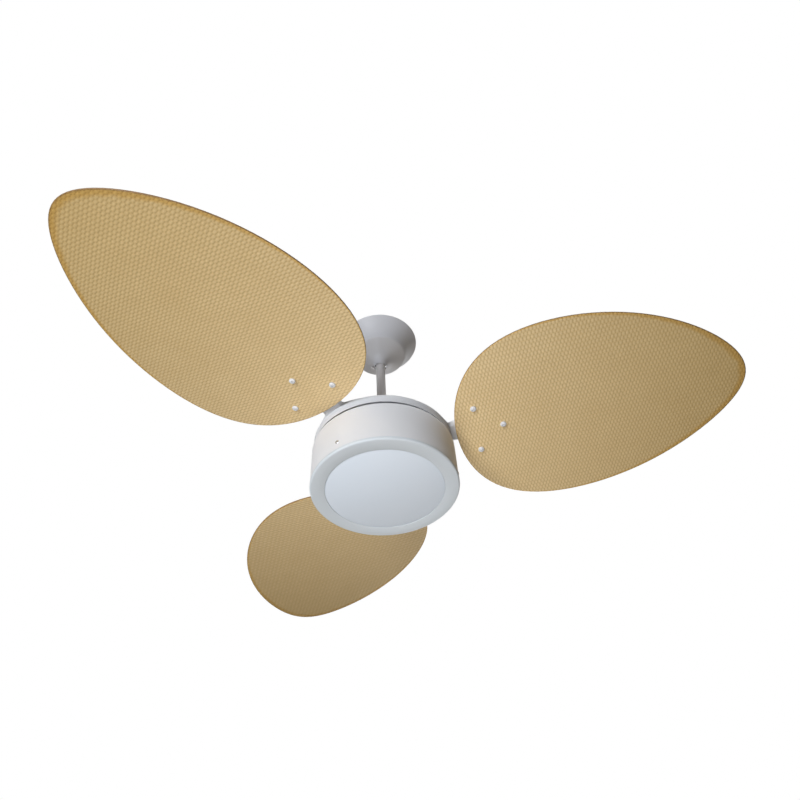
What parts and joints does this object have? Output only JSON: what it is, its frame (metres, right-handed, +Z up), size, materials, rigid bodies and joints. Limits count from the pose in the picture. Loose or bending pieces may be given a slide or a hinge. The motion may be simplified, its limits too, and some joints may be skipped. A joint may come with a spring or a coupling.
{
  "type": "ceiling fan with light",
  "caption": "Downrod ceiling fan: bell canopy, external-rotor motor, egg-shaped woven cane blades on pressed arms, fixed drum with a round flush LED light below.",
  "frame": {"origin": "on the ceiling plane, on the fan's axis, in the top face of the hanger bracket", "axes": "+Z up into the ceiling along the downrod; the hanger bolt runs along Y"},
  "size_m": [0.9578, 0.9813, 0.3593],
  "materials": {
    "white_paint": "satin off-white powder coat",
    "grey_paint": "satin pale grey powder coat",
    "satin_white": "satin white moulded plastic",
    "frosted_lens": "frosted opal, unlit",
    "woven_cane": "natural woven cane bonded to both faces of a thin board",
    "zinc_steel": "zinc plated sheet steel",
    "bright_steel": "bright plated steel",
    "core_steel": "stacked silicon steel sheets",
    "cast_alloy": "die cast",
    "enamel_wire": "varnished copper wire",
    "black_rubber": "matt",
    "clear_acrylic": "clear acrylic sheet with a dot pattern",
    "black_plastic": "potted case",
    "white_plastic": "glazed white"
  },
  "bodies": {
    "ceiling_mount": {"hanger_bracket": "zinc_steel", "terminal_block": "white_plastic", "hanger_bolt": "bright_steel", "hanger_nut": "bright_steel"},
    "stator": {"hanger_bush_front": "black_rubber", "hanger_bush_back": "black_rubber", "downrod": "grey_paint", "rod_coupling": "white_paint", "coupling_bolt": "bright_steel", "motor_shaft": "bright_steel", "stator_core": "core_steel", "stator_windings": "enamel_wire", "upper_bearing_inner_race": "bright_steel", "lower_bearing_inner_race": "bright_steel", "light_carrier": "zinc_steel", "shaft_nut": "bright_steel", "drum_housing": "white_paint", "drum_screw_1": "bright_steel", "drum_screw_2": "bright_steel", "drum_screw_3": "bright_steel", "light_frame": "satin_white", "light_diffuser": "frosted_lens", "light_guide": "clear_acrylic", "led_strip": "white_plastic", "light_back_plate": "zinc_steel", "led_driver": "black_plastic", "run_capacitor": "black_plastic"},
    "canopy": {"canopy": "white_paint", "canopy_grommet": "black_rubber", "canopy_set_screw": "bright_steel"},
    "rotor": {"motor_top_cover": "white_paint", "motor_lower_shell": "zinc_steel", "squirrel_cage": "cast_alloy", "upper_bearing_outer_race": "bright_steel", "lower_bearing_outer_race": "bright_steel", "clamp_screw_1": "bright_steel", "clamp_screw_2": "bright_steel", "clamp_screw_3": "bright_steel", "blade_arm_1": "white_paint", "blade_arm_2": "white_paint", "blade_arm_3": "white_paint", "arm_screw_1a": "bright_steel", "arm_screw_1b": "bright_steel", "arm_screw_2a": "bright_steel", "arm_screw_2b": "bright_steel", "arm_screw_3a": "bright_steel", "arm_screw_3b": "bright_steel", "blade_1": "woven_cane", "blade_2": "woven_cane", "blade_3": "woven_cane", "blade_screw_1a": "white_paint", "blade_screw_1b": "white_paint", "blade_screw_1c": "white_paint", "blade_screw_2a": "white_paint", "blade_screw_2b": "white_paint", "blade_screw_2c": "white_paint", "blade_screw_3a": "white_paint", "blade_screw_3b": "white_paint", "blade_screw_3c": "white_paint"}
  },
  "joints": [
    {"name": "hanger_swing", "type": "hinge", "parent": "ceiling_mount", "child": "stator", "pos_m": [0, 0, -0.03], "axis": [0, 1, 0], "range_deg": [-3, 3]},
    {"name": "canopy_slide", "type": "slide", "parent": "stator", "child": "canopy", "axis": [0, 0, -1], "range_m": [0, 0.12]},
    {"name": "rotor_spin", "type": "hinge", "parent": "stator", "child": "rotor", "pos_m": [0, 0, -0.29], "axis": [0, 0, 1], "continuous": true}
  ]
}
